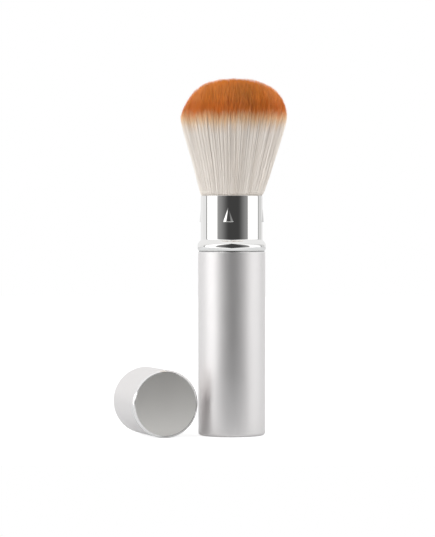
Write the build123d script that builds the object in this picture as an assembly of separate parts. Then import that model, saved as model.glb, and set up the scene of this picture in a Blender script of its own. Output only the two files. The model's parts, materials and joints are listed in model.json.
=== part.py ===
from build123d import *
import math
import os

# Retractable makeup brush, in millimetres, standing on its base with its cap lying beside it.
# Origin: the brush's axis where its base meets the surface. +Z runs up the brush to its tips.
# The handle tube carries the fibre head on a post. The neck sleeve slides up over the fibres.

# Fits shared by every piece
fit_clearance = 0.02
running_clearance = 0.05
overrun = 1.0

# Handle tube, a drawn can with a closed rounded bottom
body_radius = 12.5
body_height = 68.4
body_wall = 0.4
body_floor = 0.6
base_corner_radius = 1.2
rim_chamfer = 0.2
body_bore = body_radius - body_wall

# Bearing bush in the tube's mouth
bush_wall = 0.48
bush_length = 14.0
bush_flange_thickness = 0.3
bush_flange_inset = 0.1
bush_lead_in = 0.2
bush_outer = body_bore - fit_clearance
bush_bore = bush_outer - bush_wall
bush_bottom = body_height - bush_length
bush_flange_radius = body_radius - rim_chamfer - bush_flange_inset
bush_top = body_height + bush_flange_thickness

# Neck sleeve, a polished tube with a rolled bead
sleeve_wall = 0.45
neck_height = 16.65
bead_height = 3.75
bead_overhang = 0.25
bead_widest_share = 0.33
bead_cove_share = 0.2
bead_foot_round = 0.45
bead_seat_gap = 0.05
sleeve_rim_chamfer = 0.15
sleeve_radius = bush_bore - running_clearance
sleeve_bore = sleeve_radius - sleeve_wall
bead_radius = body_radius + bead_overhang
bead_bottom = bush_top + bead_seat_gap
bead_top = bead_bottom + bead_height
neck_rim = bead_top + neck_height

# Embossed grip dimples round the neck, ramps that widen to a square lower edge
dimple_count = 4
dimple_first_angle = -98.0
dimple_height = 0.42
dimple_half_width = 2.1
dimple_crest_share = 0.35
dimple_length = 5.2
dimple_bottom_above_bead = 6.3
dimple_sink = 0.05

# Centre post, a moulded carrier glued in the can
skirt_height = 10.5
skirt_wall = 1.2
carrier_plate = 1.5
gusset_count = 6
gusset_wall = 1.2
gusset_step = 1.0
post_side_gap = 4.1
post_wall = 1.8
post_shoulder = 2.2
guide_rib_width = 2.4
guide_rib_height = 1.2
guide_rib_top_gap = 3.0
guide_rib_count = 2
spigot_radius = 4.5
spigot_height = 6.0
spigot_lead_in = 0.4
skirt_radius = body_bore - fit_clearance
skirt_top = body_floor + skirt_height
post_radius = sleeve_bore - post_side_gap

# Slider foot plugged into the sleeve's lower end
foot_gap = 2.0
collar_height = 3.2
plug_height = 3.0
plug_lead_in = 0.3
stop_clearance = 0.1
keyway_clearance = 0.1
collar_radius = body_bore - running_clearance
collar_bottom = skirt_top + foot_gap
sleeve_bottom = collar_bottom + collar_height
sleeve_travel = bush_bottom - stop_clearance - sleeve_bottom

# Square-cut rubber ring in the foot's groove
ring_width = 1.2
ring_thickness = 1.3
ring_edge_chamfer = 0.25
ring_clearance = 0.03
ring_groove_side_gap = 0.1
ring_radius = body_bore - ring_clearance
ring_bore = ring_radius - ring_width
ring_bottom = collar_bottom + (collar_height - ring_thickness) / 2
ring_top = ring_bottom + ring_thickness

# Ferrule, socket and glue that hold the fibres
ferrule_clearance = 0.1
ferrule_wall = 0.4
ferrule_length = 22.0
ferrule_recess = 6.0
crimp_depth = 0.35
crimp_half_height = 1.0
crimp_above_flange = 4.0
socket_flange = 1.6
socket_roof = 1.2
socket_depth_gap = 0.2
glue_depth = 4.0
ferrule_radius = sleeve_bore - ferrule_clearance
ferrule_bore = ferrule_radius - ferrule_wall
ferrule_top = neck_rim - ferrule_recess
ferrule_bottom = ferrule_top - ferrule_length
crimp_height = ferrule_bottom + crimp_above_flange
post_top = ferrule_bottom - socket_flange
glue_radius = ferrule_bore - fit_clearance

# Screw up through the post's shoulder into the socket
screw_radius = 1.5
screw_bite = 4.5
screw_head_radius = 2.8
screw_head_height = 2.0
screw_head_chamfer = 0.5
screw_recess_width = 0.8
screw_recess_depth = 1.2
screw_recess_length = 3.2
screw_hole_gap = 0.2
screw_seat = post_top - post_shoulder
screw_top = post_top + spigot_height + screw_bite
socket_top = screw_top + socket_depth_gap + socket_roof

# Fibre head, white fibres that fan out of the ferrule into a flat-topped dome
strand_count = 300
strand_sides = 3
root_slice = 1.0
root_margin = 0.3
rim_margin = 0.35
head_height = 43.1
head_radius = 19.9
bulge_height = 26.5
taper_share = 0.45
dome_drop = 12.1
dome_flat_share = 0.4
dome_power = 2.0
tip_unevenness = 1.1
root_thickness = 0.38
rim_thickness = 0.4
bulge_thickness = 0.68
tip_thickness = 0.15
golden_share = 0.381966
slice_bottom = socket_top + glue_depth
slice_top = slice_bottom + root_slice

# Cap, a drawn shell with a plastic lining, lying on its side
cap_length = 25.5
cap_wall = 0.4
cap_end = 0.6
cap_edge_chamfer = 0.5
cap_grip_clearance = 0.07
cap_liner_end = 0.8
cap_liner_recess = 0.4
cap_liner_lead_in = 0.25
cap_yaw = 19.0
cap_side_gap = 2.93
cap_set_forward = 6.78
cap_radius = body_radius
cap_liner_outer = cap_radius - cap_wall - fit_clearance
cap_liner_bore = sleeve_radius + cap_grip_clearance
cap_liner_bottom = cap_end + cap_liner_end
cap_liner_top = cap_length - cap_liner_recess


# A solid cylinder on the brush's axis, from one height to another
def drum(radius, low, high):
    return Pos(0, 0, low) * extrude(Circle(radius), high - low)


# A solid turned about the brush's axis from (radius, height) corners
def turned(*corners):
    return revolve(Plane.XZ * make_face(Polyline(*corners, close=True)), Axis.Z)


# Copies of a shape spaced evenly about the brush's axis
def ring_of(shape, count, first_angle=0):
    return [Rot(0, 0, first_angle + 360 * i / count) * shape for i in range(count)]


# A block that lies along +X from one radius to another
def spoke(inner, outer, width, low, high):
    block = Pos((inner + outer) / 2, 0, (low + high) / 2)
    return block * Box(outer - inner, width, high - low)


def make_body_tube():
    outside = drum(body_radius, 0, body_height)
    outside = fillet(outside.edges().group_by(Axis.Z)[0], base_corner_radius)
    inside = drum(body_bore, body_floor, body_height + overrun)
    inside = chamfer(inside.edges().group_by(Axis.Z)[0], base_corner_radius - body_wall)
    rim = turned(
        (body_radius - rim_chamfer, body_height),
        (body_radius, body_height - rim_chamfer),
        (body_radius + rim_chamfer, body_height),
    )
    return outside - inside - rim


def make_mouth_bush():
    return turned(
        (bush_bore, bush_bottom + bush_lead_in),
        (bush_bore + bush_lead_in, bush_bottom),
        (bush_outer, bush_bottom),
        (bush_outer, body_height),
        (bush_flange_radius, body_height),
        (bush_flange_radius, bush_top),
        (bush_bore, bush_top),
    )


# Corners of the rolled bead on a tube's outside or bore, going up: flat foot, lower edge, widest band,
# crowned flank and a small cove into the neck
def bead_corners(radius, bulge_radius, underside):
    widest = (bulge_radius, bead_bottom + bead_height * bead_widest_share)
    neck = (radius, bead_top)
    cove = tuple(n + (w - n) * bead_cove_share for n, w in zip(neck, widest))
    return [
        (radius, underside),
        (bulge_radius - bead_foot_round, underside),
        (bulge_radius, underside + bead_foot_round),
        widest,
        cove,
        neck,
    ]


# The sleeve's outside: a straight tube with the bead swollen out of it, its corners joined by arcs
def sleeve_outside():
    corners = bead_corners(sleeve_radius, bead_radius, bead_bottom)
    underside, foot, edge, widest, cove, neck = corners
    arcs = [
        TangentArc(foot, edge, tangent=(1, 0)),
        Line(edge, widest),
        TangentArc(widest, cove, tangent=(0, 1)),
        TangentArc(neck, cove, tangent=(0, -1)),
    ]
    ends = [(sleeve_radius, neck_rim), (0, neck_rim), (0, sleeve_bottom), (sleeve_radius, sleeve_bottom)]
    straight = Polyline(neck, *ends, underside, foot)
    outline = [arc.edge() for arc in arcs] + straight.edges()
    return revolve(Plane.XZ * make_face(outline), Axis.Z)


# The sleeve's bore as a solid, hollowed out under the bead
def sleeve_inside():
    return turned(
        (0, sleeve_bottom - overrun),
        (sleeve_bore, sleeve_bottom - overrun),
        *bead_corners(sleeve_bore, bead_radius - sleeve_wall, bead_bottom + sleeve_wall),
        (sleeve_bore, neck_rim + overrun),
        (0, neck_rim + overrun),
    )


# One ramp that starts flush with a wall of this radius and ends proud of it at its square lower edge
def dimple(wall_radius, half_width, bottom):
    edge_radius = math.sqrt(wall_radius**2 - half_width**2) - dimple_sink
    crest_radius = wall_radius + dimple_height
    crest = half_width * dimple_crest_share
    section = Polyline(
        (edge_radius, -half_width),
        (crest_radius, -crest),
        (crest_radius, crest),
        (edge_radius, half_width),
        close=True,
    )
    tip = Vertex(wall_radius - dimple_sink, 0, bead_top + dimple_bottom_above_bead + dimple_length)
    return loft([Pos(0, 0, bottom) * make_face(section).face(), tip], ruled=True)


def make_neck_sleeve():
    ledge = bead_top + dimple_bottom_above_bead
    outside = sleeve_outside()
    outside = chamfer(outside.edges().group_by(Axis.Z)[-1], sleeve_rim_chamfer)
    proud = dimple(sleeve_radius, dimple_half_width, ledge)
    hollow = dimple(sleeve_bore, dimple_half_width - sleeve_wall, ledge + sleeve_wall)
    outside = outside + ring_of(proud, dimple_count, dimple_first_angle)
    return outside - sleeve_inside() - ring_of(hollow, dimple_count, dimple_first_angle)


def make_centre_post():
    skirt = drum(skirt_radius, body_floor, skirt_top)
    skirt = chamfer(skirt.edges().group_by(Axis.Z)[0], base_corner_radius - body_wall)
    skirt -= drum(skirt_radius - skirt_wall, body_floor + carrier_plate, skirt_top + overrun)
    post = drum(post_radius, body_floor, post_top)
    spigot = drum(spigot_radius, body_floor + carrier_plate, post_top + spigot_height)
    spigot = chamfer(spigot.edges().group_by(Axis.Z)[-1], spigot_lead_in)
    gusset = spoke(post_radius - post_wall, skirt_radius, gusset_wall, body_floor, skirt_top - gusset_step)
    gusset &= drum(skirt_radius - skirt_wall / 2, body_floor + carrier_plate / 2, skirt_top)
    rib_reach = post_radius + guide_rib_height
    rib = spoke(post_radius - post_wall, rib_reach, guide_rib_width, body_floor, post_top - guide_rib_top_gap)
    core = drum(post_radius - post_wall, body_floor - overrun, screw_seat)
    hole = drum(screw_radius + screw_hole_gap, screw_seat - overrun, post_top + spigot_height + overrun)
    solid = skirt + post + spigot
    solid += ring_of(gusset, gusset_count, 180 / gusset_count)
    solid += ring_of(rib, guide_rib_count)
    return solid - core - hole


def make_slider_foot():
    collar = drum(collar_radius, collar_bottom, sleeve_bottom)
    plug = drum(sleeve_bore - fit_clearance, collar_bottom, sleeve_bottom + plug_height)
    plug = chamfer(plug.edges().group_by(Axis.Z)[-1], plug_lead_in)
    bore = drum(post_radius + running_clearance, collar_bottom - overrun, sleeve_bottom + plug_height + overrun)
    keyway = spoke(
        0,
        post_radius + guide_rib_height + keyway_clearance,
        guide_rib_width + 2 * keyway_clearance,
        collar_bottom - overrun,
        sleeve_bottom + plug_height + overrun,
    )
    groove = drum(collar_radius + overrun, ring_bottom - ring_groove_side_gap, ring_top + ring_groove_side_gap)
    groove -= drum(ring_bore - fit_clearance, collar_bottom, sleeve_bottom)
    return collar + plug - bore - groove - ring_of(keyway, guide_rib_count)


def make_friction_ring():
    return turned(
        (ring_bore, ring_bottom),
        (ring_radius - ring_edge_chamfer, ring_bottom),
        (ring_radius, ring_bottom + ring_edge_chamfer),
        (ring_radius, ring_top - ring_edge_chamfer),
        (ring_radius - ring_edge_chamfer, ring_top),
        (ring_bore, ring_top),
    )


# Corners of a wall with the rolled crimp pressed in, going up
def crimped_wall(radius, low, high):
    return [
        (radius, low),
        (radius, crimp_height - crimp_half_height),
        (radius - crimp_depth, crimp_height - crimp_half_height / 2),
        (radius - crimp_depth, crimp_height + crimp_half_height / 2),
        (radius, crimp_height + crimp_half_height),
        (radius, high),
    ]


def make_ferrule():
    outer = crimped_wall(ferrule_radius, ferrule_bottom, ferrule_top)
    inner = crimped_wall(ferrule_bore, ferrule_bottom, ferrule_top)
    return turned(*outer, *reversed(inner))


def make_head_socket():
    plug = turned(
        (0, post_top),
        (ferrule_radius, post_top),
        (ferrule_radius, ferrule_bottom),
        *crimped_wall(ferrule_bore - fit_clearance, ferrule_bottom, socket_top),
        (0, socket_top),
    )
    seat = drum(spigot_radius + fit_clearance, post_top - overrun, post_top + spigot_height + socket_depth_gap)
    hole = drum(screw_radius + fit_clearance, post_top, screw_top + socket_depth_gap)
    return plug - seat - hole


def make_head_screw():
    shank = drum(screw_radius, screw_seat, screw_top)
    head = drum(screw_head_radius, screw_seat - screw_head_height, screw_seat)
    head = chamfer(head.edges().group_by(Axis.Z)[0], screw_head_chamfer)
    slot = Box(screw_recess_length, screw_recess_width, screw_recess_depth * 2)
    cross = Pos(0, 0, screw_seat - screw_head_height) * (slot + Rot(0, 0, 90) * slot)
    return shank + head - cross


def make_glue_plug():
    return drum(glue_radius, socket_top, slice_bottom)


# How far a fibre's tip lies below the top of the dome, for its share of the head's radius
def dome_fall(share):
    beyond = max(0, (share - dome_flat_share) / (1 - dome_flat_share))
    return dome_drop * beyond**dome_power


# One fibre: its knots share their heights with all the others, so no two can cross
def strand(index):
    share = math.sqrt((index + 0.5) / strand_count)
    angle = 360 * golden_share * index
    uneven = (index * golden_share * strand_sides) % 1
    tip_height = neck_rim + head_height - dome_fall(share) - tip_unevenness * uneven
    bulge = neck_rim + bulge_height
    fan_radius = head_radius - bulge_thickness
    knots = [
        (slice_top, ferrule_bore - root_margin - root_thickness, root_thickness),
        (neck_rim, sleeve_bore - rim_margin - rim_thickness, rim_thickness),
        (bulge, fan_radius, bulge_thickness),
        (tip_height - (tip_height - bulge) * taper_share, fan_radius, bulge_thickness),
        (tip_height, fan_radius, tip_thickness),
    ]
    sections = []
    for height, reach, thickness in knots:
        place = Rot(0, 0, angle) * Pos(share * reach, 0, height)
        sections.append((place * RegularPolygon(thickness, strand_sides)).face())
    return flat_sided(sections)


# A solid through polygons of as many corners each, with a flat face between each pair of sides
def flat_sided(sections):
    rings = [[corner.center() for corner in section.vertices()] for section in sections]
    sides = []
    for low, high in zip(rings, rings[1:]):
        for here in range(len(low)):
            there = (here + 1) % len(low)
            sides.append(Face(Wire.make_polygon([low[here], low[there], high[there], high[here]])))
    return Solid(Shell([sections[0], *sides, sections[-1]]))


def make_bristles():
    backing = drum(glue_radius, slice_bottom, slice_top)
    return backing.fuse(*[strand(i) for i in range(strand_count)], glue=True)


# The frame the cap lies in: its closed end at the frame's origin, its mouth towards the frame's +Z
def cap_frame():
    yaw = math.radians(cap_yaw)
    offset = body_radius + cap_radius + cap_side_gap
    along = Vector(-math.sin(yaw), math.cos(yaw), 0)
    aside = Vector(-math.cos(yaw), -math.sin(yaw), 0)
    origin = aside * offset - along * cap_set_forward + Vector(0, 0, cap_radius)
    return Plane(origin=origin, x_dir=Vector(0, 0, 1), z_dir=along)


def make_cap_shell():
    outside = drum(cap_radius, 0, cap_length)
    outside = chamfer(outside.edges().group_by(Axis.Z)[0], cap_edge_chamfer)
    return outside - drum(cap_radius - cap_wall, cap_end, cap_length + overrun)


def make_cap_liner():
    return turned(
        (0, cap_end),
        (cap_liner_outer, cap_end),
        (cap_liner_outer, cap_liner_top),
        (cap_liner_bore + cap_liner_lead_in, cap_liner_top),
        (cap_liner_bore, cap_liner_top - cap_liner_lead_in),
        (cap_liner_bore, cap_liner_bottom),
        (0, cap_liner_bottom),
    )


def make_all():
    lying = cap_frame()
    return {
        "body_tube": make_body_tube(),
        "centre_post": make_centre_post(),
        "mouth_bush": make_mouth_bush(),
        "head_socket": make_head_socket(),
        "head_screw": make_head_screw(),
        "ferrule": make_ferrule(),
        "glue_plug": make_glue_plug(),
        "bristles": make_bristles(),
        "neck_sleeve": make_neck_sleeve(),
        "slider_foot": make_slider_foot(),
        "friction_ring": make_friction_ring(),
        "cap_shell": lying * make_cap_shell(),
        "cap_liner": lying * make_cap_liner(),
    }


os.makedirs("parts", exist_ok=True)
for name, piece in make_all().items():
    export_step(piece, f"parts/{name}.step")
print(f"sleeve travel {sleeve_travel:.2f} mm")
print(f"cap mouth at {cap_frame().origin + cap_frame().z_dir * (cap_liner_top - cap_liner_lead_in)}")
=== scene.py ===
"""Looks of a retractable makeup brush standing beside its cap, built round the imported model."""

import json
import logging
import math
from abc import ABC, abstractmethod
from dataclasses import dataclass
from enum import Enum

import bpy
import numpy as np
from mathutils import Matrix, Vector


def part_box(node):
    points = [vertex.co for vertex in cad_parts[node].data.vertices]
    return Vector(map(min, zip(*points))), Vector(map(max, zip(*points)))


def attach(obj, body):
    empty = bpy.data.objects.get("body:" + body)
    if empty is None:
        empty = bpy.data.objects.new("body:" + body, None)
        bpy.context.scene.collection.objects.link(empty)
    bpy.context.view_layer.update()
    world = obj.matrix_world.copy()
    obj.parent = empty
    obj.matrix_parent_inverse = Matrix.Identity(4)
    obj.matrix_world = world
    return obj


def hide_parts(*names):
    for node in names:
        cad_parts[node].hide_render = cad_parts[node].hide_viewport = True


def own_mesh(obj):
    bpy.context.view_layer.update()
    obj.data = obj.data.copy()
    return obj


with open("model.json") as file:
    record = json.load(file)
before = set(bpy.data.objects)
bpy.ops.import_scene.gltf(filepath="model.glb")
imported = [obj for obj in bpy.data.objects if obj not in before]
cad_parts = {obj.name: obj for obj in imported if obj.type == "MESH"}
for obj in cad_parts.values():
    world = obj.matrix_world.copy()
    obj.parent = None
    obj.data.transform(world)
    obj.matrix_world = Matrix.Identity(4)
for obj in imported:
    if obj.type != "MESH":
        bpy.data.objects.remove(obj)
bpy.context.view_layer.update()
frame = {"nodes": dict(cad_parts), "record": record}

MM = 0.001
TINY = 1e-6
GOLDEN_ANGLE = math.pi * (3 - math.sqrt(5))
SHARP_EDGE = math.radians(28)
NOISE_SPAN = (0.3, 0.7)
LOG = logging.getLogger("makeup_brush")
Pair = tuple[float, float]
Triple = tuple[float, float, float]
Colour = Triple


class Body(Enum):
    """The bodies of the brush that move against each other."""

    HANDLE = "handle"
    SLEEVE = "sleeve"
    CAP = "cap"


class Slot(Enum):
    """The record's material slots."""

    SATIN = "satin_aluminium"
    POLISHED = "polished_aluminium"
    PLAIN = "plain_aluminium"
    MOULDED = "moulded_plastic"
    BUSH = "bush_plastic"
    LINER = "liner_plastic"
    RUBBER = "ring_rubber"
    STEEL = "screw_steel"
    RESIN = "glue_resin"
    FIBRES = "fibres"


class Bench:
    """A node tree with short calls for adding nodes and joining them."""

    def __init__(self, tree: bpy.types.NodeTree) -> None:
        """Empties the tree.

        Args:
            tree: the node tree of a material or of the world.
        """
        self.tree = tree
        self.tree.nodes.clear()

    def add(self, kind: str, **inputs: object) -> bpy.types.Node:
        """Adds a node and sets or feeds its named inputs.

        Args:
            kind: the node's type name, without its ShaderNode prefix.
            inputs: values or output sockets, by input name with _ for a space.

        Returns:
            The new node.
        """
        node = self.tree.nodes.new("ShaderNode" + kind)
        for name, value in inputs.items():
            self.feed(node.inputs[name.replace("_", " ")], value)
        return node

    def feed(self, socket: bpy.types.NodeSocket, value: object) -> None:
        """Joins a socket to an output, or sets it to a plain value.

        Args:
            socket: the input socket.
            value: an output socket or a number or colour.
        """
        if isinstance(value, bpy.types.NodeSocket):
            self.tree.links.new(value, socket)
        else:
            socket.default_value = value

    def reckon(
        self, operation: str, first: object, second: object = 0.0
    ) -> bpy.types.NodeSocket:
        """Adds a maths node.

        Args:
            operation: the node's operation, such as MULTIPLY.
            first: its first value or socket.
            second: its second value or socket.

        Returns:
            The result's socket.
        """
        node = self.tree.nodes.new("ShaderNodeMath")
        node.operation = operation
        self.feed(node.inputs[0], first)
        self.feed(node.inputs[1], second)
        return node.outputs[0]

    def rescale(
        self, value: object, start: float, end: float, low: float, high: float
    ) -> bpy.types.NodeSocket:
        """Turns a value's span into another span, with soft ends.

        Args:
            value: the socket to read.
            start: the value that gives low.
            end: the value that gives high.
            low: the result at start and before it.
            high: the result at end and past it.

        Returns:
            The result's socket.
        """
        node = self.tree.nodes.new("ShaderNodeMapRange")
        node.interpolation_type = "SMOOTHSTEP"
        for socket, number in zip(node.inputs, (value, start, end, low, high)):
            self.feed(socket, number)
        return node.outputs[0]

    def speckle(
        self, size_mm: float, stretch: Pair = (1.0, 1.0), detail: float = 3.0
    ) -> bpy.types.NodeSocket:
        """Noise fixed to the piece.

        Args:
            size_mm: how large its spots are.
            stretch: how much longer the spots are along the piece's X and Z.
            detail: how many finer layers it has.

        Returns:
            The noise's factor socket.
        """
        place = self.add("TexCoord").outputs["Object"]
        scale = (1 / stretch[0], 1.0, 1 / stretch[1])
        spot = self.add("Mapping", Vector=place, Scale=scale).outputs[0]
        noise = self.add("TexNoise", Vector=spot, Scale=1 / (size_mm * MM), Detail=detail)
        return noise.outputs[0]

    def relief(self, height: object, depth_mm: float, strength: float) -> bpy.types.NodeSocket:
        """A bump from a height.

        Args:
            height: the height's socket, from 0 to 1.
            depth_mm: how deep the full height is.
            strength: the bump's strength.

        Returns:
            The normal's socket.
        """
        bump = self.add("Bump", Strength=strength, Distance=depth_mm * MM, Height=height)
        return bump.outputs["Normal"]


def new_material(name: str) -> tuple[bpy.types.Material, Bench, bpy.types.Node]:
    """Makes a material that has only its Principled shader yet.

    Args:
        name: the material's name.

    Returns:
        The material, its node tree and its shader.
    """
    material = bpy.data.materials.new(name)
    material.use_nodes = True
    bench = Bench(material.node_tree)
    shader = bench.add("BsdfPrincipled")
    bench.add("OutputMaterial", Surface=shader.outputs["BSDF"])
    return material, bench, shader


def new_object(name: str, data: bpy.types.ID) -> bpy.types.Object:
    """Puts a new object into the scene.

    Args:
        name: the object's name.
        data: its mesh, light or camera.

    Returns:
        The object.
    """
    thing = bpy.data.objects.new(name, data)
    bpy.context.scene.collection.objects.link(thing)
    return thing


@dataclass(frozen=True)
class Finish(ABC):
    """A surface finish that makes one procedural material."""

    name: str
    slot: Slot

    @abstractmethod
    def lay(self, bench: Bench, shader: bpy.types.Node) -> None:
        """Sets the shader and adds the nodes that feed it.

        Args:
            bench: the material's node tree.
            shader: its Principled shader.
        """

    def material(self) -> bpy.types.Material:
        """Gives the finish's material, and makes it the first time.

        Returns:
            The material.
        """
        found = bpy.data.materials.get(self.name)
        if found:
            return found
        material, bench, shader = new_material(self.name)
        self.lay(bench, shader)
        return material


@dataclass(frozen=True)
class Metal(Finish):
    """Bare metal: a colour, a roughness that drifts in soft smudges, and a fine grain."""

    colour: Colour
    roughness: float
    drift: float
    grain_mm: float
    grain_depth_mm: float
    grain_strength: float
    stretch: Pair = (1.0, 1.0)
    smudge_mm: float = 9.0

    def lay(self, bench: Bench, shader: bpy.types.Node) -> None:
        """Sets a metal with handled, slightly uneven gloss.

        Args:
            bench: the material's node tree.
            shader: its Principled shader.
        """
        shader.inputs["Base Color"].default_value = (*self.colour, 1.0)
        shader.inputs["Metallic"].default_value = 1.0
        smudges = bench.speckle(self.smudge_mm)
        glossy, dull = self.roughness - self.drift, self.roughness + self.drift
        bench.feed(shader.inputs["Roughness"], bench.rescale(smudges, *NOISE_SPAN, glossy, dull))
        grain = bench.speckle(self.grain_mm, self.stretch)
        relief = bench.relief(grain, self.grain_depth_mm, self.grain_strength)
        bench.feed(shader.inputs["Normal"], relief)


@dataclass(frozen=True)
class Plastic(Finish):
    """Moulded plastic or rubber: a colour with faint flow clouds over a moulded texture."""

    colour: Colour
    clouds: float
    roughness: float
    texture_mm: float
    texture_strength: float
    texture_depth_mm: float = 0.02
    cloud_mm: float = 6.0
    cloud_span: Pair = (0.35, 0.65)
    gloss: float = 0.45

    def lay(self, bench: Bench, shader: bpy.types.Node) -> None:
        """Sets a plastic with a colour that drifts a little.

        Args:
            bench: the material's node tree.
            shader: its Principled shader.
        """
        shader.inputs["Roughness"].default_value = self.roughness
        shader.inputs["Specular IOR Level"].default_value = self.gloss
        ramp = bench.add("ValToRGB", Fac=bench.speckle(self.cloud_mm))
        shares = (1 - self.clouds, 1 + self.clouds)
        for stop, share, position in zip(ramp.color_ramp.elements, shares, self.cloud_span):
            stop.color = (*(min(1.0, c * share) for c in self.colour), 1.0)
            stop.position = position
        bench.feed(shader.inputs["Base Color"], ramp.outputs["Color"])
        texture = bench.speckle(self.texture_mm)
        relief = bench.relief(texture, self.texture_depth_mm, self.texture_strength)
        bench.feed(shader.inputs["Normal"], relief)


@dataclass(frozen=True)
class DyedFibre(Finish):
    """Soft synthetic fibre, off-white with dyed tips.

    It reads each corner's dye, from 0 at the root to 1 at the tip, and each fibre's tone. The tone
    tells more in the dyed part, by dye_depth.
    """

    root: Colour
    blend: Colour
    dyed: Colour
    tip: Colour
    roughness: float
    gloss: float = 0.42
    dye_depth: float = 4.5
    blend_at: float = 0.32
    dyed_from: float = 0.62
    dyed_to: float = 0.85

    def lay(self, bench: Bench, shader: bpy.types.Node) -> None:
        """Sets a fibre whose colour runs from root to tip.

        Args:
            bench: the material's node tree.
            shader: its Principled shader.
        """
        shader.inputs["Roughness"].default_value = self.roughness
        shader.inputs["Specular IOR Level"].default_value = self.gloss
        dye = bench.add("Attribute")
        dye.attribute_name = "dye"
        ramp = bench.add("ValToRGB", Fac=dye.outputs["Fac"])
        stops = ramp.color_ramp.elements
        stops[0].color = (*self.root, 1.0)
        stops[1].color = (*self.tip, 1.0)
        places = (self.blend_at, self.blend), (self.dyed_from, self.dyed), (self.dyed_to, self.dyed)
        for position, colour in places:
            stop = stops.new(position)
            stop.color = (*colour, 1.0)
        tone = bench.add("Attribute")
        tone.attribute_name = "tone"
        depth = bench.reckon("MULTIPLY", dye.outputs["Fac"], self.dye_depth)
        depth = bench.reckon("ADD", depth, 1.0)
        shade = bench.add("MixRGB", Fac=1.0, Color1=ramp.outputs["Color"])
        shade.blend_type = "MULTIPLY"
        bench.feed(shade.inputs["Color2"], bench.reckon("POWER", tone.outputs["Fac"], depth))
        bench.feed(shader.inputs["Base Color"], shade.outputs["Color"])


SATIN = Metal(
    "satin_tube", Slot.SATIN, (0.92, 0.9, 0.895), roughness=0.42, drift=0.01,
    grain_mm=0.12, grain_depth_mm=0.01, grain_strength=0.12,
)
SATIN_END = Metal(
    "satin_end", Slot.SATIN, (0.88, 0.86, 0.825), roughness=0.3, drift=0.01,
    grain_mm=0.1, grain_depth_mm=0.008, grain_strength=0.12,
)
POLISHED = Metal(
    "mirror_neck", Slot.POLISHED, (0.93, 0.925, 0.915), roughness=0.035, drift=0.01,
    grain_mm=0.5, grain_depth_mm=0.004, grain_strength=0.05, stretch=(6.0, 1.0),
)
TURNED_EDGE = Metal(
    "turned_edge", Slot.SATIN, (0.95, 0.945, 0.94), roughness=0.12, drift=0.02,
    grain_mm=0.06, grain_depth_mm=0.004, grain_strength=0.1,
)
PLAIN = Metal(
    "drawn_ferrule", Slot.PLAIN, (0.8, 0.8, 0.8), roughness=0.24, drift=0.04,
    grain_mm=0.1, grain_depth_mm=0.01, grain_strength=0.1, stretch=(1.0, 12.0),
)
ZINC = Metal(
    "zinc_screw", Slot.STEEL, (0.66, 0.66, 0.68), roughness=0.3, drift=0.08,
    grain_mm=0.2, grain_depth_mm=0.02, grain_strength=0.2,
)
MOULDED = Plastic(
    "moulded_carrier", Slot.MOULDED, (0.86, 0.86, 0.84), clouds=0.03, roughness=0.42,
    texture_mm=0.25, texture_strength=0.12,
)
# Near black, as painted shade in the seam under the bead; the flange's recess gives some real shade
# too.
BUSH = Plastic(
    "grey_bush", Slot.BUSH, (0.1, 0.1, 0.1), clouds=0.06, roughness=0.38,
    texture_mm=0.2, texture_strength=0.1,
)
LINER = Plastic(
    "clear_white_liner", Slot.LINER, (0.86, 0.86, 0.85), clouds=0.02, roughness=0.22,
    texture_mm=0.4, texture_strength=0.05,
)
RUBBER = Plastic(
    "black_rubber", Slot.RUBBER, (0.02, 0.02, 0.02), clouds=0.2, roughness=0.62,
    texture_mm=0.15, texture_strength=0.3,
)
RESIN = Plastic(
    "cast_resin", Slot.RESIN, (0.78, 0.66, 0.4), clouds=0.08, roughness=0.18,
    texture_mm=0.8, texture_strength=0.08,
)
FIBRE = DyedFibre(
    "two_tone_fibre",
    Slot.FIBRES,
    root=(0.93, 0.86, 0.785),
    blend=(0.93, 0.62, 0.34),
    dyed=(0.76, 0.205, 0.015),
    tip=(0.84, 0.285, 0.035),
    roughness=0.42,
)


class Outline:
    """The section of a turned piece, drawn with its finishes, in millimetres."""

    def __init__(self, radius: float, height: float) -> None:
        """Starts the outline.

        Args:
            radius: the first point's distance from the axis.
            height: the first point's height.
        """
        self.points: list[Pair] = [(radius, height)]
        self.finishes: list[Finish] = []

    def line(self, radius: float, height: float, finish: Finish, rows: int = 1) -> "Outline":
        """Draws a straight stretch.

        Args:
            radius: the end's distance from the axis.
            height: the end's height.
            finish: what the stretch is finished with.
            rows: how many rows of faces it has.

        Returns:
            The outline, for the next call.
        """
        r0, h0 = self.points[-1]
        for row in range(1, rows + 1):
            share = row / rows
            self.points.append((r0 + (radius - r0) * share, h0 + (height - h0) * share))
            self.finishes.append(finish)
        return self

    def arc(
        self, radius: float, height: float, tangent: Pair, finish: Finish, rows: int
    ) -> "Outline":
        """Draws an arc that leaves the last point along a direction.

        Args:
            radius: the end's distance from the axis.
            height: the end's height.
            tangent: the direction at the arc's start.
            finish: what the stretch is finished with.
            rows: how many rows of faces it has.

        Returns:
            The outline, for the next call.
        """
        start = Vector(self.points[-1])
        chord = Vector((radius, height)) - start
        along = Vector(tangent).normalized()
        turn = math.atan2(along.x * chord.y - along.y * chord.x, along.dot(chord))
        for row in range(1, rows + 1):
            part = turn * row / rows
            reach = chord.length * math.sin(part) / math.sin(turn)
            step = along.copy()
            step.rotate(Matrix.Rotation(part, 2))
            self.points.append(tuple(start + step * reach))
            self.finishes.append(finish)
        return self


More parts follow.
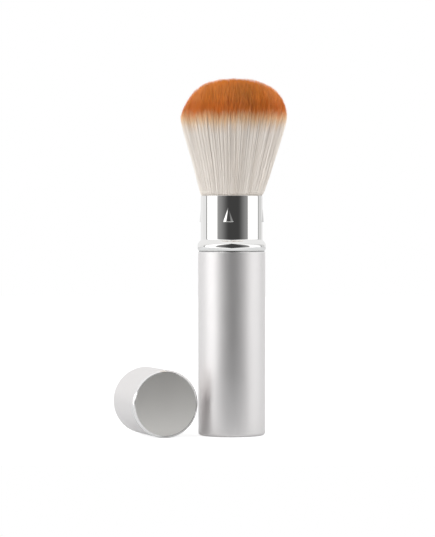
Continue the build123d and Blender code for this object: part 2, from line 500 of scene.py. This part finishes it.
@dataclass
class Dimples:
    """Grip dimples pressed out of a neck: ramps that widen down to a square lower edge."""

    bottom_mm: float
    count: int = 4
    first_angle: float = -96.5
    length_mm: float = 5.45
    half_width_mm: float = 1.9
    height_mm: float = 0.45
    crest_share: float = 0.36
    edge_mm: float = 0.12
    flank_curve: Triple = (0.8, 0.6, -0.4)

    def swell(self, angles: np.ndarray, radius: np.ndarray, heights: np.ndarray) -> np.ndarray:
        """How far the dimples push a wall outwards.

        Args:
            angles: angles round the axis, in radians.
            radius: the wall's radius at each place, in millimetres.
            heights: heights of each place, in millimetres.

        Returns:
            The push at each place, in millimetres.
        """
        pitch = math.tau / self.count
        aside = (angles - math.radians(self.first_angle) + pitch / 2) % pitch - pitch / 2
        above = heights - self.bottom_mm
        narrowing = np.clip(1 - above / self.length_mm, 0, 1)
        ramp = narrowing * np.clip(1 + above / self.edge_mm, 0, 1)
        across = np.abs(aside * radius) / np.maximum(self.half_width_mm * narrowing, TINY)
        flank = np.clip((1 - across) / (1 - self.crest_share), 0, 1)
        even, rise, crest = self.flank_curve
        return self.height_mm * ramp * flank * (even + rise * flank + crest * flank**2)


def turn_piece(
    name: str,
    outline: Outline,
    segments: int,
    dimples: Dimples | None = None,
    place: Matrix = Matrix.Identity(4),
) -> bpy.types.Object:
    """Turns a closed outline about its axis into a mesh piece.

    Args:
        name: the piece's name.
        outline: its section, whose last point joins the first.
        segments: how many segments it has round its axis.
        dimples: dimples pressed out of its walls.
        place: where the outline's own axis stands, in metres.

    Returns:
        The new object.
    """
    section = np.array(outline.points[:-1])
    angles = np.linspace(0, math.tau, segments, endpoint=False)
    radii = np.repeat(section[:, :1], segments, axis=1)
    heights = np.repeat(section[:, 1:], segments, axis=1)
    if dimples:
        radii = radii + dimples.swell(angles[None, :], radii, heights)
    corners = np.stack([radii * np.cos(angles), radii * np.sin(angles), heights], axis=-1) * MM
    on_axis = section[:, 0] < TINY
    numbers = np.zeros(corners.shape[:2], int)
    points: list[tuple[float, ...]] = []
    for row, centre in enumerate(on_axis):
        kept = corners[row, :1] if centre else corners[row]
        numbers[row] = len(points) if centre else np.arange(len(points), len(points) + segments)
        points.extend(map(tuple, kept))
    faces, picks = [], []
    finishes = list(dict.fromkeys(outline.finishes))
    for row, finish in enumerate(outline.finishes):
        after = (row + 1) % len(section)
        low, high = numbers[row], numbers[after]
        if on_axis[row] and on_axis[after]:
            continue
        for here in range(segments):
            there = (here + 1) % segments
            ring = (low[here], low[there], high[there], high[here])
            faces.append(tuple(dict.fromkeys(int(n) for n in ring)))
            picks.append(finishes.index(finish))
    mesh = bpy.data.meshes.new(name)
    mesh.from_pydata(points, [], faces)
    mesh.transform(place)
    for finish in finishes:
        mesh.materials.append(finish.material())
    mesh.polygons.foreach_set("material_index", picks)
    mesh.polygons.foreach_set("use_smooth", [True] * len(faces))
    mesh.set_sharp_from_angle(angle=SHARP_EDGE)
    mesh.update()
    return new_object(name, mesh)


def seat(piece: bpy.types.Object, body: Body, slot: Slot, *nodes: str) -> None:
    """Puts a piece on its body, in place of the nodes that it stands for.

    Args:
        piece: the piece.
        body: the body that it rides on.
        slot: the record's slot; not used.
        nodes: the nodes that it replaces.
    """
    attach(piece, body.value)
    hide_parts(*nodes)
    LOG.info("%s: %d faces, rides on %s", piece.name, len(piece.data.polygons), body.value)


def span_mm(node: str) -> Triple:
    """A node's radius about the brush's axis, its bottom and its top, in millimetres.

    Args:
        node: a node that stands on the brush's axis.

    Returns:
        Radius, lowest height and highest height.
    """
    low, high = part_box(node)
    return high.x / MM, low.z / MM, high.z / MM


@dataclass
class HandleTube:
    """The satin can that is held, and the grey bush in its mouth."""

    wall: float = 0.4
    floor: float = 0.6
    base_round: float = 1.2
    rim_chamfer: float = 0.2
    bush_wall: float = 0.48
    bush_flange_inset: float = 0.3
    fit: float = 0.02
    segments: int = 256

    def build(self) -> None:
        """Builds the can and the bush."""
        self.can()
        self.bush()

    def can(self) -> None:
        """The drawn can, closed and rounded at its base."""
        radius, _, top = span_mm("body_tube")
        bore = radius - self.wall
        corner = self.base_round
        outline = (
            Outline(0, 0)
            .line(radius - corner, 0, SATIN)
            .arc(radius, corner, (1, 0), SATIN, rows=10)
            .line(radius, top - self.rim_chamfer, SATIN, rows=12)
            .line(radius - self.rim_chamfer, top, TURNED_EDGE)
            .line(bore, top, TURNED_EDGE)
            .line(bore, corner, SATIN)
            .line(bore - (corner - self.floor), self.floor, SATIN)
            .line(0, self.floor, SATIN)
            .line(0, 0, SATIN)
        )
        can = turn_piece("satin_can", outline, self.segments)
        seat(can, Body.HANDLE, SATIN.slot, "body_tube")

    def bush(self) -> None:
        """The bearing bush, whose flange sits back in the seam under the bead; its near-black
        colour paints the seam's shade.
        """
        radius, _, rim = span_mm("body_tube")
        _, bottom, top = span_mm("mouth_bush")
        outer = radius - self.wall - self.fit
        flange = radius - self.bush_flange_inset
        bore = outer - self.bush_wall
        outline = (
            Outline(bore, bottom)
            .line(outer, bottom, BUSH)
            .line(outer, rim, BUSH)
            .line(flange, rim, BUSH)
            .line(flange, top, BUSH)
            .line(bore, top, BUSH)
            .line(bore, bottom, BUSH)
        )
        bush = turn_piece("seam_bush", outline, self.segments)
        seat(bush, Body.HANDLE, BUSH.slot, "mouth_bush")


@dataclass
class NeckSleeve:
    """The polished sleeve with its rolled bead and grip dimples."""

    wall: float = 0.45
    seat_gap: float = 0.05
    bush_bore: float = 11.6
    running_clearance: float = 0.05
    bead_height: float = 4.25
    bead_widest_share: float = 0.33
    bead_cove_share: float = 0.2
    bead_foot_depth: float = 0.45
    bead_round: float = 2.8
    bead_rows: int = 24
    rim_round: float = 0.12
    rim_row: float = 0.08
    dimple_bottom_above_bead: float = 6.5
    dimple_row: float = 0.08
    segments: int = 480

    def bead(
        self, outline: Outline, radius: float, bulge: float, low: float, bottom: float
    ) -> None:
        """Draws the rolled bead on the way up a wall, and ends on the wall above it.

        Args:
            outline: the outline so far, ending on the wall.
            radius: the wall's radius.
            bulge: the bead's radius.
            low: the height of the underside of this wall's bead.
            bottom: the height of the bead's outer underside.
        """
        top = bottom + self.bead_height
        widest = bottom + self.bead_height * self.bead_widest_share
        cove_radius = radius + (bulge - radius) * self.bead_cove_share
        cove_height = top + (widest - top) * self.bead_cove_share
        hollow = Outline(radius, top).arc(cove_radius, cove_height, (0, -1), POLISHED, rows=8)
        outline.line(radius, low, POLISHED)
        outline.line(bulge - self.bead_foot_depth, low, POLISHED)
        slope = 2 * math.atan2(widest - low, self.bead_foot_depth) - math.pi / 2
        outline.arc(bulge, widest, (math.cos(slope), math.sin(slope)), POLISHED, rows=12)
        for row in range(1, self.bead_rows + 1):
            share = row / self.bead_rows
            inwards = (bulge - cove_radius) * share**self.bead_round
            outline.line(bulge - inwards, widest + (cove_height - widest) * share, POLISHED)
        for point in reversed(hollow.points[:-1]):
            outline.line(*point, POLISHED)

    def build(self) -> None:
        """Builds the sleeve's shell, outside and bore."""
        bulge, bottom, rim = span_mm("neck_sleeve")
        radius = self.bush_bore - self.running_clearance
        bore = radius - self.wall
        bead_bottom = span_mm("mouth_bush")[2] + self.seat_gap
        dimples = Dimples(bead_bottom + self.bead_height + self.dimple_bottom_above_bead)
        ledge = dimples.bottom_mm - 2 * dimples.edge_mm
        tip = dimples.bottom_mm + dimples.length_mm
        rows = round((tip - ledge) / self.dimple_row)
        outline = Outline(radius, bottom)
        self.bead(outline, radius, bulge, bead_bottom, bead_bottom)
        outline.line(radius, ledge, POLISHED, rows=4)
        outline.line(radius, tip, POLISHED, rows)
        outline.line(radius, rim - self.rim_round - self.rim_row, POLISHED, rows=3)
        outline.line(radius, rim - self.rim_round, POLISHED)
        outline.arc(radius - self.rim_round, rim, (0, 1), POLISHED, rows=4)
        outline.line(bore, rim, POLISHED)
        inner = Outline(bore, bottom)
        self.bead(inner, bore, bulge - self.wall, bead_bottom + self.wall, bead_bottom)
        inner.line(bore, ledge, POLISHED, rows=2)
        inner.line(bore, tip, POLISHED, rows // 3)
        for point in reversed(inner.points):
            outline.line(*point, POLISHED)
        outline.line(radius, bottom, POLISHED)
        shell = turn_piece("polished_neck", outline, self.segments, dimples)
        seat(shell, Body.SLEEVE, POLISHED.slot, "neck_sleeve")


@dataclass
class Cap:
    """The satin cap lying on its side, with its bright turned edge and its lining."""

    length: float = 25.5
    radius: float = 12.5
    wall: float = 0.4
    end: float = 0.6
    edge: float = 0.6
    edge_fall: float = 0.06
    groove: float = 0.12
    lip: float = 0.08
    liner_end: float = 0.8
    liner_recess: float = 0.4
    liner_bore: float = 11.62
    lead_in: float = 0.25
    fit: float = 0.02
    segments: int = 256

    def place(self) -> Matrix:
        """Where the cap's closed end is and which way its mouth points, from its mouth's mount.

        Returns:
            The cap's place, in metres.
        """
        mouth = next(m for m in frame["record"]["mounts"] if m["name"] == "cap_mouth")
        along = Vector(mouth["axis"]).normalized()
        depth = (self.length - self.liner_recess - self.lead_in) * MM
        end = Vector(mouth["pos_m"]) - along * depth
        return Matrix.Translation(end) @ along.to_track_quat("Z", "Y").to_matrix().to_4x4()

    def build(self) -> None:
        """Builds the shell and the lining."""
        self.shell()
        self.lining()

    def shell(self) -> None:
        """The drawn shell: a satin end inside a fine line and a bright chamfer."""
        face = self.radius - self.edge
        outline = (
            Outline(0, 0)
            .line(face - 2 * self.groove, 0, SATIN_END, rows=6)
            .line(face - self.groove, self.groove, TURNED_EDGE)
            .line(face, 0, TURNED_EDGE)
            .line(self.radius - self.lip, self.edge - self.lip, TURNED_EDGE, rows=2)
            .line(self.radius, self.edge + self.edge_fall, TURNED_EDGE)
            .line(self.radius, self.length - self.lip, SATIN, rows=8)
            .line(self.radius - self.lip, self.length, TURNED_EDGE)
            .line(self.radius - self.wall, self.length, TURNED_EDGE)
            .line(self.radius - self.wall, self.end, SATIN)
            .line(0, self.end, SATIN)
            .line(0, 0, SATIN)
        )
        shell = turn_piece("satin_cap", outline, self.segments, place=self.place())
        seat(shell, Body.CAP, SATIN.slot, "cap_shell")

    def lining(self) -> None:
        """The plastic cup pressed into the shell."""
        outer = self.radius - self.wall - self.fit
        floor = self.end + self.liner_end
        top = self.length - self.liner_recess
        outline = (
            Outline(0, self.end)
            .line(outer, self.end, LINER)
            .line(outer, top, LINER)
            .line(self.liner_bore + self.lead_in, top, LINER)
            .line(self.liner_bore, top - self.lead_in, LINER)
            .line(self.liner_bore, floor, LINER, rows=6)
            .line(0, floor, LINER, rows=3)
            .line(0, self.end, LINER)
        )
        cup = turn_piece("lining_cup", outline, self.segments // 2, place=self.place())
        seat(cup, Body.CAP, LINER.slot, "cap_liner")


@dataclass(frozen=True)
class Fibres:
    """A number of fibres, each with a row in every array.

    Attributes:
        angle: bearings round the head, in radians.
        spot: places across the head, as shares of its radius.
        centre: the middles of their clumps, as shares.
        tip: the tips' heights above the sleeve's rim, in millimetres.
        line: the heights at which they have the blend colour, in millimetres.
        tone: how light they are, with a patch of painted shade on one side of the head.
        sway: how far they bow, as shares.
    """

    angle: np.ndarray
    spot: np.ndarray
    centre: np.ndarray
    tip: np.ndarray
    line: np.ndarray
    tone: np.ndarray
    sway: np.ndarray

    def only(self, held: np.ndarray) -> "Fibres":
        """The fibres that a mask holds."""
        return Fibres(**{name: rows[held] for name, rows in vars(self).items()})


@dataclass(frozen=True)
class Unevenness:
    """How much fibres and their clumps differ, each as the spread of a normal draw."""

    share: float = 0.005
    angle: float = 0.025
    clump_angle: float = 0.25
    clump_place: float = 0.02
    clump_rise: float = 0.12
    clump_dye: float = 0.38
    clump_tone: float = 0.009
    tip: float = 0.5
    dye_line: float = 0.6
    tone: float = 0.016
    sway: float = 0.004


@dataclass
class FibreHead:
    """The head of fine fibres, made in wedges, which the sleeve slides over.

    Heights are from the sleeve's rim. The first of neck_radii is at the roots, and the others are
    at neck_heights. A fibre's other rings are at ring_shares of the way from there to its tip.
    """

    fibre_count: int = 22000
    wedge_count: int = 24
    clump_count: int = 380
    crowding: float = 0.38
    sides: int = 4
    thickness: float = 0.105
    flatness: float = 0.42
    tip_thickness: float = 0.02
    taper_length: float = 5.0
    taper_power: float = 0.6
    root_gap: float = 0.3
    neck_heights: tuple[float, ...] = (-0.5, 0.05, 0.45, 1.3)
    neck_radii: tuple[float, ...] = (10.35, 10.95, 11.0, 11.4, 11.85)
    ring_shares: tuple[float, ...] = (0.22, 0.42, 0.6, 0.76, 0.89, 1.0)
    rim_radius: float = 12.1
    bulge_radius: float = 19.7
    bulge_height: float = 28.0
    crown_height: float = 43.7
    fan_shares: Triple = (0.6, 0.9, -0.5)
    crown_powers: Pair = (2.9, 1.6)
    shoulder_cut: float = 1.7
    shoulder_sides: Pair = (0.6, 0.5)
    shoulder_powers: tuple[int, int] = (4, 8)
    shoulder_peak: float = 0.38
    lean: float = 0.6
    lean_height: float = 6.0
    crown_lean: float = 0.35
    clump_pull: float = 0.02
    sway_turn: float = 0.9
    dye_height: float = 27.8
    dye_side_rise: float = 1.2
    dye_side_powers: tuple[int, int] = (3, 2)
    dye_blend: float = 11.0
    tone: float = 0.985
    tone_limits: Pair = (0.6, 1.03)
    # A patch of painted shade: fibres round this bearing are darkened, most at the outside of the
    # head.
    dense_angle: float = -72.0
    dense_width: float = 20.0
    dense_shade: float = 0.05
    closed_share: float = 0.52
    uneven: Unevenness = Unevenness()
    seed: int = 7

    def fan(self, height: np.ndarray) -> np.ndarray:
        """The head's radius at heights above the sleeve's rim, if its fibres ran on.

        Args:
            height: heights above the rim, in millimetres.

        Returns:
            Radii in millimetres.
        """
        t = height / self.bulge_height
        straight, opening, closing = self.fan_shares
        swell = straight * t + opening * t**2 + closing * t**3
        return self.rim_radius + (self.bulge_radius - self.rim_radius) * swell

    def crown(self, share: np.ndarray) -> np.ndarray:
        """The height at which fibres end, by their share of the head's radius.

        Args:
            share: 0 on the axis to 1 at the outside.

        Returns:
            Heights above the rim, in millimetres.
        """
        power, root = self.crown_powers
        rise = (1 - np.clip(share, 0, 1) ** power) ** (1 / root)
        return self.bulge_height + (self.crown_height - self.bulge_height) * rise

    def shoulder(self, share: np.ndarray, angle: np.ndarray) -> np.ndarray:
        """How far the crown's shoulder is cut down, most on the -X side.

        Args:
            share: 0 on the axis to 1 at the outside.
            angle: angles round the axis, in radians.

        Returns:
            Cuts in millimetres.
        """
        even, aside = self.shoulder_sides
        rise, fall = self.shoulder_powers
        ridge = share**rise * (1 - np.clip(share, 0, 1) ** fall) / self.shoulder_peak
        return self.shoulder_cut * np.clip(even - aside * np.cos(angle), 0, 1) * ridge

    def scatter(self) -> Fibres:
        """Draws every fibre's place and looks, the same ones on every run.

        Returns:
            The fibres.
        """
        dice = np.random.default_rng(self.seed)
        uneven, count, clumps = self.uneven, self.fibre_count, self.clump_count
        number = np.arange(count)
        share = ((number + 0.5) / count) ** self.crowding
        share *= 1 + dice.normal(0, uneven.share, count)
        angle = number * GOLDEN_ANGLE + dice.normal(0, uneven.angle, count)
        spot = self.across(share, angle)
        clump = np.arange(clumps)
        turned = clump * GOLDEN_ANGLE + dice.normal(0, uneven.clump_angle, clumps)
        centre = self.across(np.sqrt((clump + 0.5) / clumps), turned)
        centre += dice.normal(0, uneven.clump_place, centre.shape)
        nearest = ((spot[:, None] - centre) ** 2).sum(-1).argmin(1)
        spreads = (uneven.clump_rise, uneven.clump_dye, uneven.clump_tone)
        rise, dye, shade = (dice.normal(0, spread, clumps)[nearest] for spread in spreads)
        tip = self.crown(share) - self.shoulder(share, angle)
        tip += rise - np.abs(dice.normal(0, uneven.tip, count))
        turn_power, share_power = self.dye_side_powers
        side = np.abs(np.cos(angle)) ** turn_power * share**share_power
        line = self.dye_height + self.dye_side_rise * side + dye
        line += dice.normal(0, uneven.dye_line, count)
        tone = self.tone + shade + dice.normal(0, uneven.tone, count)
        # Painted shade: the fibres round one bearing are darkened, most at the outside of the head,
        # like the shadow of a parted clump.
        aside = (np.degrees(angle) - self.dense_angle + 180) % 360 - 180
        painted_shade_patch = self.dense_shade * np.exp(-((aside / self.dense_width) ** 2)) * share**2
        tone = np.clip(tone, *self.tone_limits) - painted_shade_patch
        sway = dice.normal(0, uneven.sway, (count, 2))
        return Fibres(angle, spot, centre[nearest], tip, line, tone, sway)

    def across(self, share: np.ndarray, angle: np.ndarray) -> np.ndarray:
        """Places across the head, by shares of its radius and angles in radians."""
        return np.stack([share * np.cos(angle), share * np.sin(angle)], axis=-1)

    def build(self) -> None:
        """Builds every wedge and puts it in the place of the plain fibre solid."""
        fibres = self.scatter()
        wedge = (fibres.angle % math.tau // (math.tau / self.wedge_count)).astype(int)
        for index in range(self.wedge_count):
            self.wedge(index, fibres.only(wedge == index))

    def wedge(self, index: int, fibres: Fibres) -> None:
        """Builds one wedge of fibres.

        Args:
            index: the wedge's number.
            fibres: its fibres.
        """
        _, _, rim = span_mm("neck_sleeve")
        root = span_mm("glue_plug")[2] + self.root_gap - rim
        heights, radii = self.rings(fibres.tip, root)
        corners = self.course(fibres, heights, radii)[:, :, None] + self.girth(fibres, heights)
        places = corners.shape[:3]
        tall = np.broadcast_to(heights[..., None] + rim, places)[..., None]
        points = (np.concatenate([corners, tall], axis=-1) * MM).reshape(-1, 3)
        dye = np.clip((heights - fibres.line[:, None]) / self.dye_blend + FIBRE.blend_at, 0, 1)
        name = f"fibre_wedge_{index + 1:02d}"
        mesh = bpy.data.meshes.new(name)
        mesh.from_pydata(points.tolist(), [], self.faces(*heights.shape))
        self.mark(mesh, "dye", np.broadcast_to(dye[..., None], places))
        self.mark(mesh, "tone", np.broadcast_to(fibres.tone[:, None, None], places))
        mesh.materials.append(FIBRE.material())
        mesh.update()
        wedge = new_object(name, mesh)
        seat(wedge, Body.HANDLE, FIBRE.slot, "bristles")
        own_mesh(wedge)

    def rings(self, tip: np.ndarray, root: float) -> tuple[np.ndarray, np.ndarray]:
        """The heights of the fibres' rings of corners, and how wide the head is there.

        Args:
            tip: the height of each fibre's tip above the rim, in millimetres.
            root: the height of the fibres' roots, from the rim, in millimetres.

        Returns:
            Heights above the rim, and the head's radii, in millimetres.
        """
        neck = np.tile((root, *self.neck_heights), (len(tip), 1))
        above = neck[:, -1:] + (tip[:, None] - neck[:, -1:]) * np.array(self.ring_shares)
        radii = np.tile(self.neck_radii, (len(tip), 1))
        heights = np.concatenate([neck, above], axis=1)
        return heights, np.concatenate([radii, self.fan(above)], axis=1)

    def course(self, fibres: Fibres, heights: np.ndarray, radii: np.ndarray) -> np.ndarray:
        """The middles of the fibres' rings, as they fan out, clump, bow and lean.

        Args:
            fibres: the fibres.
            heights: the rings' heights above the rim, in millimetres.
            radii: the head's radius at each ring, in millimetres.

        Returns:
            The middles' X and Y, in millimetres.
        """
        along = np.clip(heights / self.crown_height, 0, 1)[..., None]
        pull = (fibres.centre - fibres.spot)[:, None] * self.clump_pull * along**2
        bow = fibres.sway[:, None] * np.sin(along * math.pi * self.sway_turn)
        middles = (fibres.spot[:, None] + pull + bow) * radii[..., None]
        middles[..., 0] += self.lean * (1 - np.exp(-np.clip(heights, 0, None) / self.lean_height))
        middles[..., 0] += self.crown_lean * along[..., 0] ** 2
        return middles

    def girth(self, fibres: Fibres, heights: np.ndarray) -> np.ndarray:
        """The corners of the fibres' rings about their middles, thinner towards the tip.

        Args:
            fibres: the fibres.
            heights: the rings' heights above the rim, in millimetres.

        Returns:
            The corners' X and Y from the middles, in millimetres.
        """
        left = np.clip((fibres.tip[:, None] - heights) / self.taper_length, 0, 1)
        size = self.thickness - self.tip_thickness
        size = self.tip_thickness + size * left**self.taper_power
        apart = np.linalg.norm(fibres.spot, axis=1, keepdims=True)
        outwards = fibres.spot / np.maximum(apart, TINY)
        sideways = np.stack([-outwards[:, 1], outwards[:, 0]], axis=-1)
        turns = np.arange(self.sides)[:, None] * math.tau / self.sides
        ring = outwards[:, None] * self.flatness * np.cos(turns)
        ring = ring + sideways[:, None] * np.sin(turns)
        return ring[:, None] * size[..., None, None]

    def faces(self, fibres: int, rings: int) -> list[tuple[int, ...]]:
        """The faces of a number of fibres of as many rings each.

        Args:
            fibres: how many fibres there are.
            rings: how many rings of corners each has.

        Returns:
            Corner numbers of each face.
        """
        here = np.arange(self.sides)
        there = (here + 1) % self.sides
        ring = np.arange(fibres * rings).reshape(fibres, rings, 1) * self.sides
        low, high = ring[:, :-1], ring[:, 1:]
        walls = np.stack([low + here, low + there, high + there, high + here], axis=-1)
        ends = ring[:, -1] + here
        return walls.reshape(-1, 4).tolist() + ends.tolist()

    def mark(self, mesh: bpy.types.Mesh, name: str, values: np.ndarray) -> None:
        """Keeps a number at each corner of a mesh, for its material to read.

        Args:
            mesh: the mesh.
            name: the attribute's name.
            values: one number for each corner.
        """
        attribute = mesh.attributes.new(name, "FLOAT", "POINT")
        attribute.data.foreach_set("value", np.ascontiguousarray(values, np.float32).ravel())


@dataclass
class InnerWorks:
    """The pieces inside the handle, which keep their shapes and get their finishes."""

    centre_post: Finish = MOULDED
    head_socket: Finish = MOULDED
    head_screw: Finish = ZINC
    ferrule: Finish = PLAIN
    glue_plug: Finish = RESIN
    slider_foot: Finish = MOULDED
    friction_ring: Finish = RUBBER

    def build(self) -> None:
        """Finishes each inner piece."""
        for node, finish in vars(self).items():
            piece = frame["nodes"][node]
            piece.data.materials.clear()
            piece.data.materials.append(finish.material())
            LOG.info("%s: finished as %s, for %s", node, finish.name, finish.slot.value)


@dataclass(frozen=True)
class Panel:
    """A lit or dark part of the studio's walls, by its bearings round the brush in degrees.

    Its ends fade over start_soft and end_soft.
    """

    start: float
    end: float
    start_soft: float
    end_soft: float
    brightness: float


@dataclass(frozen=True)
class Lamp:
    """A large soft lamp for the fibres and the floor, which the metal doesn't mirror."""

    name: str
    bearing: float
    rise: float
    brightness: float
    colour: Colour
    distance: float = 1.0
    size: float = 1.1
    aim_height: float = 0.07

    def hang(self) -> None:
        """Hangs the lamp at its bearing, turned towards the brush."""
        data = bpy.data.lights.new(self.name, "AREA")
        data.shape = "SQUARE"
        data.size = self.size
        data.color = self.colour
        data.energy = self.brightness * math.pi * self.size**2
        lamp = new_object(self.name, data)
        aside, up = math.radians(self.bearing), math.radians(self.rise)
        level = Vector((math.sin(aside), -math.cos(aside), 0)) * math.cos(up)
        way = level + Vector((0, 0, math.sin(up)))
        lamp.location = way * self.distance + Vector((0, 0, self.aim_height))
        lamp.rotation_euler = way.to_track_quat("Z", "Y").to_euler()
        lamp.visible_camera = False
        lamp.visible_glossy = False


@dataclass
class Studio:
    """The pale floor, the soft walls and lamps that light the brush, and the camera.

    The walls' heights are in degrees, the floor's sides in metres and the camera's places in
    millimetres.
    """

    walls: float = 0.88
    ceiling: float = 0.9
    ceiling_start: float = 50.0
    ceiling_full: float = 75.0
    level_band: float = 3.0
    panel_rise: float = 39.0
    panel_drop: float = 20.0
    arch: float = 1.3
    least_width: float = 0.002
    floor_front: float = 0.12
    floor_back: float = 2.2
    floor_side: float = 2.2
    floor_colour: float = 0.48
    floor_drift: float = 0.01
    floor_spots_mm: float = 60.0
    floor_roughness: float = 0.9
    floor_lift: float = 0.75
    floor_sheen: float = 0.2
    camera_place: Triple = (-5.3, -890.0, 72.4)
    camera_aim: Triple = (-5.3, 0.0, 62.1)
    lens: float = 160.0
    nearest_seen: float = 0.01

    def panels(self) -> list[Panel]:
        """The walls' panels, each laid over the ones before it.

        Returns:
            The panels, in the order in which they are laid.
        """
        return [
            Panel(-134, -103, 8, 3, 0.84),
            Panel(-110, -102.5, 3, 3, 0.3),
            Panel(-103, 20, 3, 26, 1.52),
            Panel(-56.5, 62.5, 12, 3, 0.3),
            Panel(-31, 42, 44, 40, 0.052),
            Panel(62, 115, 2, 3, 1.12),
            Panel(114.5, 122, 3, 3, 0.38),
            Panel(121.5, 146, 3, 10, 0.68),
        ]

    def lamps(self) -> list[Lamp]:
        """The lamps, one at each side and a weak warm one in front.

        Returns:
            The lamps.
        """
        return [
            Lamp("left_lamp", -80, 18, 2.1, (0.95, 1.0, 1.04)),
            Lamp("right_lamp", 80, 6, 2.25, (0.95, 1.0, 1.04)),
            Lamp("front_lamp", 0, 3, 0.1, (1.0, 0.6, 0.35)),
        ]

    def build(self) -> None:
        """Builds the walls, the lamps, the floor and the camera."""
        self.light()
        for lamp in self.lamps():
            lamp.hang()
        self.floor()
        self.camera()

    def light(self) -> None:
        """Makes the world: soft walls round the brush, and white where the camera looks."""
        world = bpy.data.worlds.new("studio")
        bpy.context.scene.world = world
        world.use_nodes = True
        bench = Bench(world.node_tree)
        way = bench.add("SeparateXYZ", Vector=bench.add("TexCoord").outputs["Generated"])
        x, y, z = way.outputs
        bearing = bench.reckon("ARCTAN2", x, bench.reckon("MULTIPLY", y, -1.0))
        bearing = bench.reckon("MULTIPLY", bearing, math.degrees(1))
        height = bench.reckon("MULTIPLY", bench.reckon("ARCSINE", z), math.degrees(1))
        depth = bench.reckon("MULTIPLY", height, -1.0)
        over, under = (
            bench.reckon("MAXIMUM", bench.reckon("SUBTRACT", level, self.level_band), 0.0)
            for level in (height, depth)
        )
        share = bench.reckon("POWER", bench.reckon("DIVIDE", over, self.panel_rise), self.arch)
        share = bench.reckon("ADD", share, bench.reckon("DIVIDE", under, self.panel_drop))
        narrowing = bench.reckon("MAXIMUM", bench.reckon("SUBTRACT", 1.0, share), self.least_width)
        bearing = bench.reckon("DIVIDE", bearing, narrowing)
        glow: object = self.walls
        for panel in self.panels():
            glow = self.lay(bench, bearing, glow, panel)
        overhead = bench.rescale(height, self.ceiling_start, self.ceiling_full, 0.0, 1.0)
        glow = self.blend(bench, glow, self.ceiling, overhead)
        path = bench.add("LightPath")
        glow = self.blend(bench, glow, 1.0, path.outputs["Is Camera Ray"])
        background = bench.add("Background", Color=(1.0, 1.0, 1.0, 1.0), Strength=glow)
        bench.add("OutputWorld", Surface=background.outputs[0])

    def lay(
        self, bench: Bench, bearing: bpy.types.NodeSocket, glow: object, panel: Panel
    ) -> object:
        """Lays a panel over the walls so far.

        Args:
            bench: the world's node tree.
            bearing: the bearing's socket, in degrees.
            glow: the brightness so far.
            panel: the panel.

        Returns:
            The brightness with the panel.
        """
        edges = (panel.start, panel.start_soft, 0.0, 1.0), (panel.end, panel.end_soft, 1.0, 0.0)
        rise, fall = (
            bench.rescale(bearing, edge - soft / 2, edge + soft / 2, before, after)
            for edge, soft, before, after in edges
        )
        return self.blend(bench, glow, panel.brightness, bench.reckon("MULTIPLY", rise, fall))

    def blend(self, bench: Bench, first: object, second: float, share: object) -> object:
        """Mixes two brightnesses.

        Args:
            bench: the node tree.
            first: the brightness at a share of 0.
            second: the brightness at a share of 1.
            share: the share's socket.

        Returns:
            The mix.
        """
        mix = bench.add("Mix")
        bench.feed(mix.inputs[0], share)
        bench.feed(mix.inputs[2], first)
        bench.feed(mix.inputs[3], second)
        return mix.outputs[0]

    def floor(self) -> None:
        """Makes the pale floor, which is white to the camera and keeps a soft shadow."""
        side = self.floor_side
        front, back = -self.floor_front, self.floor_back
        mesh = bpy.data.meshes.new("floor")
        corners = [(-side, front, 0), (side, front, 0), (side, back, 0), (-side, back, 0)]
        mesh.from_pydata(corners, [], [(0, 1, 2, 3)])
        floor = new_object("floor", mesh)
        material, bench, shader = new_material("pale_floor")
        dark, pale = self.floor_colour - self.floor_drift, self.floor_colour + self.floor_drift
        spots = bench.rescale(bench.speckle(self.floor_spots_mm), *NOISE_SPAN, dark, pale)
        bench.feed(shader.inputs["Base Color"], spots)
        bench.feed(shader.inputs["Roughness"], self.floor_roughness)
        bench.feed(shader.inputs["Specular IOR Level"], 0.0)
        path = bench.add("LightPath")
        seen = bench.reckon("MULTIPLY", path.outputs["Is Camera Ray"], self.floor_lift)
        mirrored = bench.reckon("MULTIPLY", path.outputs["Is Glossy Ray"], self.floor_sheen)
        bench.feed(shader.inputs["Emission Color"], (1.0, 1.0, 1.0, 1.0))
        bench.feed(shader.inputs["Emission Strength"], bench.reckon("ADD", seen, mirrored))
        mesh.materials.append(material)

    def camera(self) -> None:
        """Makes the camera at the photograph's angle."""
        data = bpy.data.cameras.new("camera")
        data.lens = self.lens
        data.clip_start = self.nearest_seen
        camera = new_object("camera", data)
        place, aim = (Vector(point) * MM for point in (self.camera_place, self.camera_aim))
        camera.location = place
        camera.rotation_euler = (aim - place).to_track_quat("-Z", "Y").to_euler()
        bpy.context.scene.camera = camera
        bpy.context.scene.view_settings.view_transform = "Standard"


def main() -> None:
    """Builds the brush, its cap and the studio."""
    logging.basicConfig(level=logging.INFO, format="%(message)s")
    for part in (InnerWorks(), HandleTube(), NeckSleeve(), FibreHead(), Cap(), Studio()):
        LOG.info("building %s", type(part).__name__)
        part.build()


if __name__ == "__main__":
    main()
